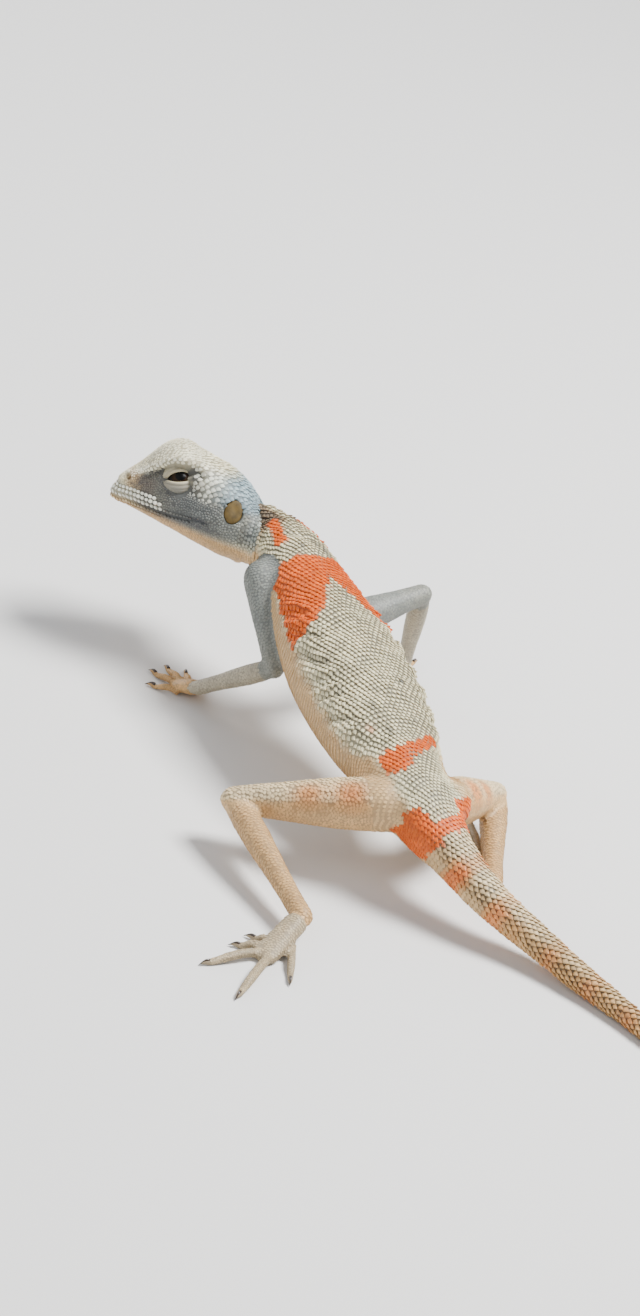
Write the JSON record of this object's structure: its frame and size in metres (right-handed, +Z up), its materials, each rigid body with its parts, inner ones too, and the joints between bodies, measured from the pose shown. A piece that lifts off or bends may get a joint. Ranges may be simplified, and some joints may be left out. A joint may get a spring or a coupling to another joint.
{
  "type": "sinai agama model",
  "caption": "Life-size still model of a slender lizard standing on four spread feet, head turned left, long tapering tail on the floor.",
  "frame": {"origin": "on the floor under the middle of the model's bounding box", "axes": "+Z up, the tail runs towards +Y, the head end is at -Y, and the animal's left is +X"},
  "size_m": [0.0716, 0.2082, 0.034],
  "materials": {
    "head": "small keeled scales, satin, cream on the crown, grey-blue on the temple and ochre on the throat",
    "eye": "glossy dark eye",
    "eardrum": "thin smooth olive-brown drum, satin",
    "trunk": "rows of keeled scales, satin, cream with orange shoulder and loin bands",
    "tail": "rings of keeled scales, satin, cream with fading orange bands",
    "limbs": "small keeled scales, satin, grey-blue upper arms and tan legs",
    "feet": "fine scales on slim toes, satin",
    "claws": "smooth dark horn"
  },
  "bodies": {
    "root": {"head": "head", "eye_left": "eye", "eye_right": "eye", "ear_left": "eardrum", "ear_right": "eardrum", "neck": "trunk", "chest": "trunk", "belly": "trunk", "pelvis": "trunk", "tail_base": "tail", "tail_upper": "tail", "tail_middle": "tail", "tail_lower": "tail", "tail_tip": "tail", "upper_arm_left": "limbs", "forearm_left": "limbs", "hand_left": "feet", "upper_arm_right": "limbs", "forearm_right": "limbs", "hand_right": "feet", "thigh_left": "limbs", "shank_left": "limbs", "foot_left": "feet", "thigh_right": "limbs", "shank_right": "limbs", "foot_right": "feet"}
  },
  "joints": []
}
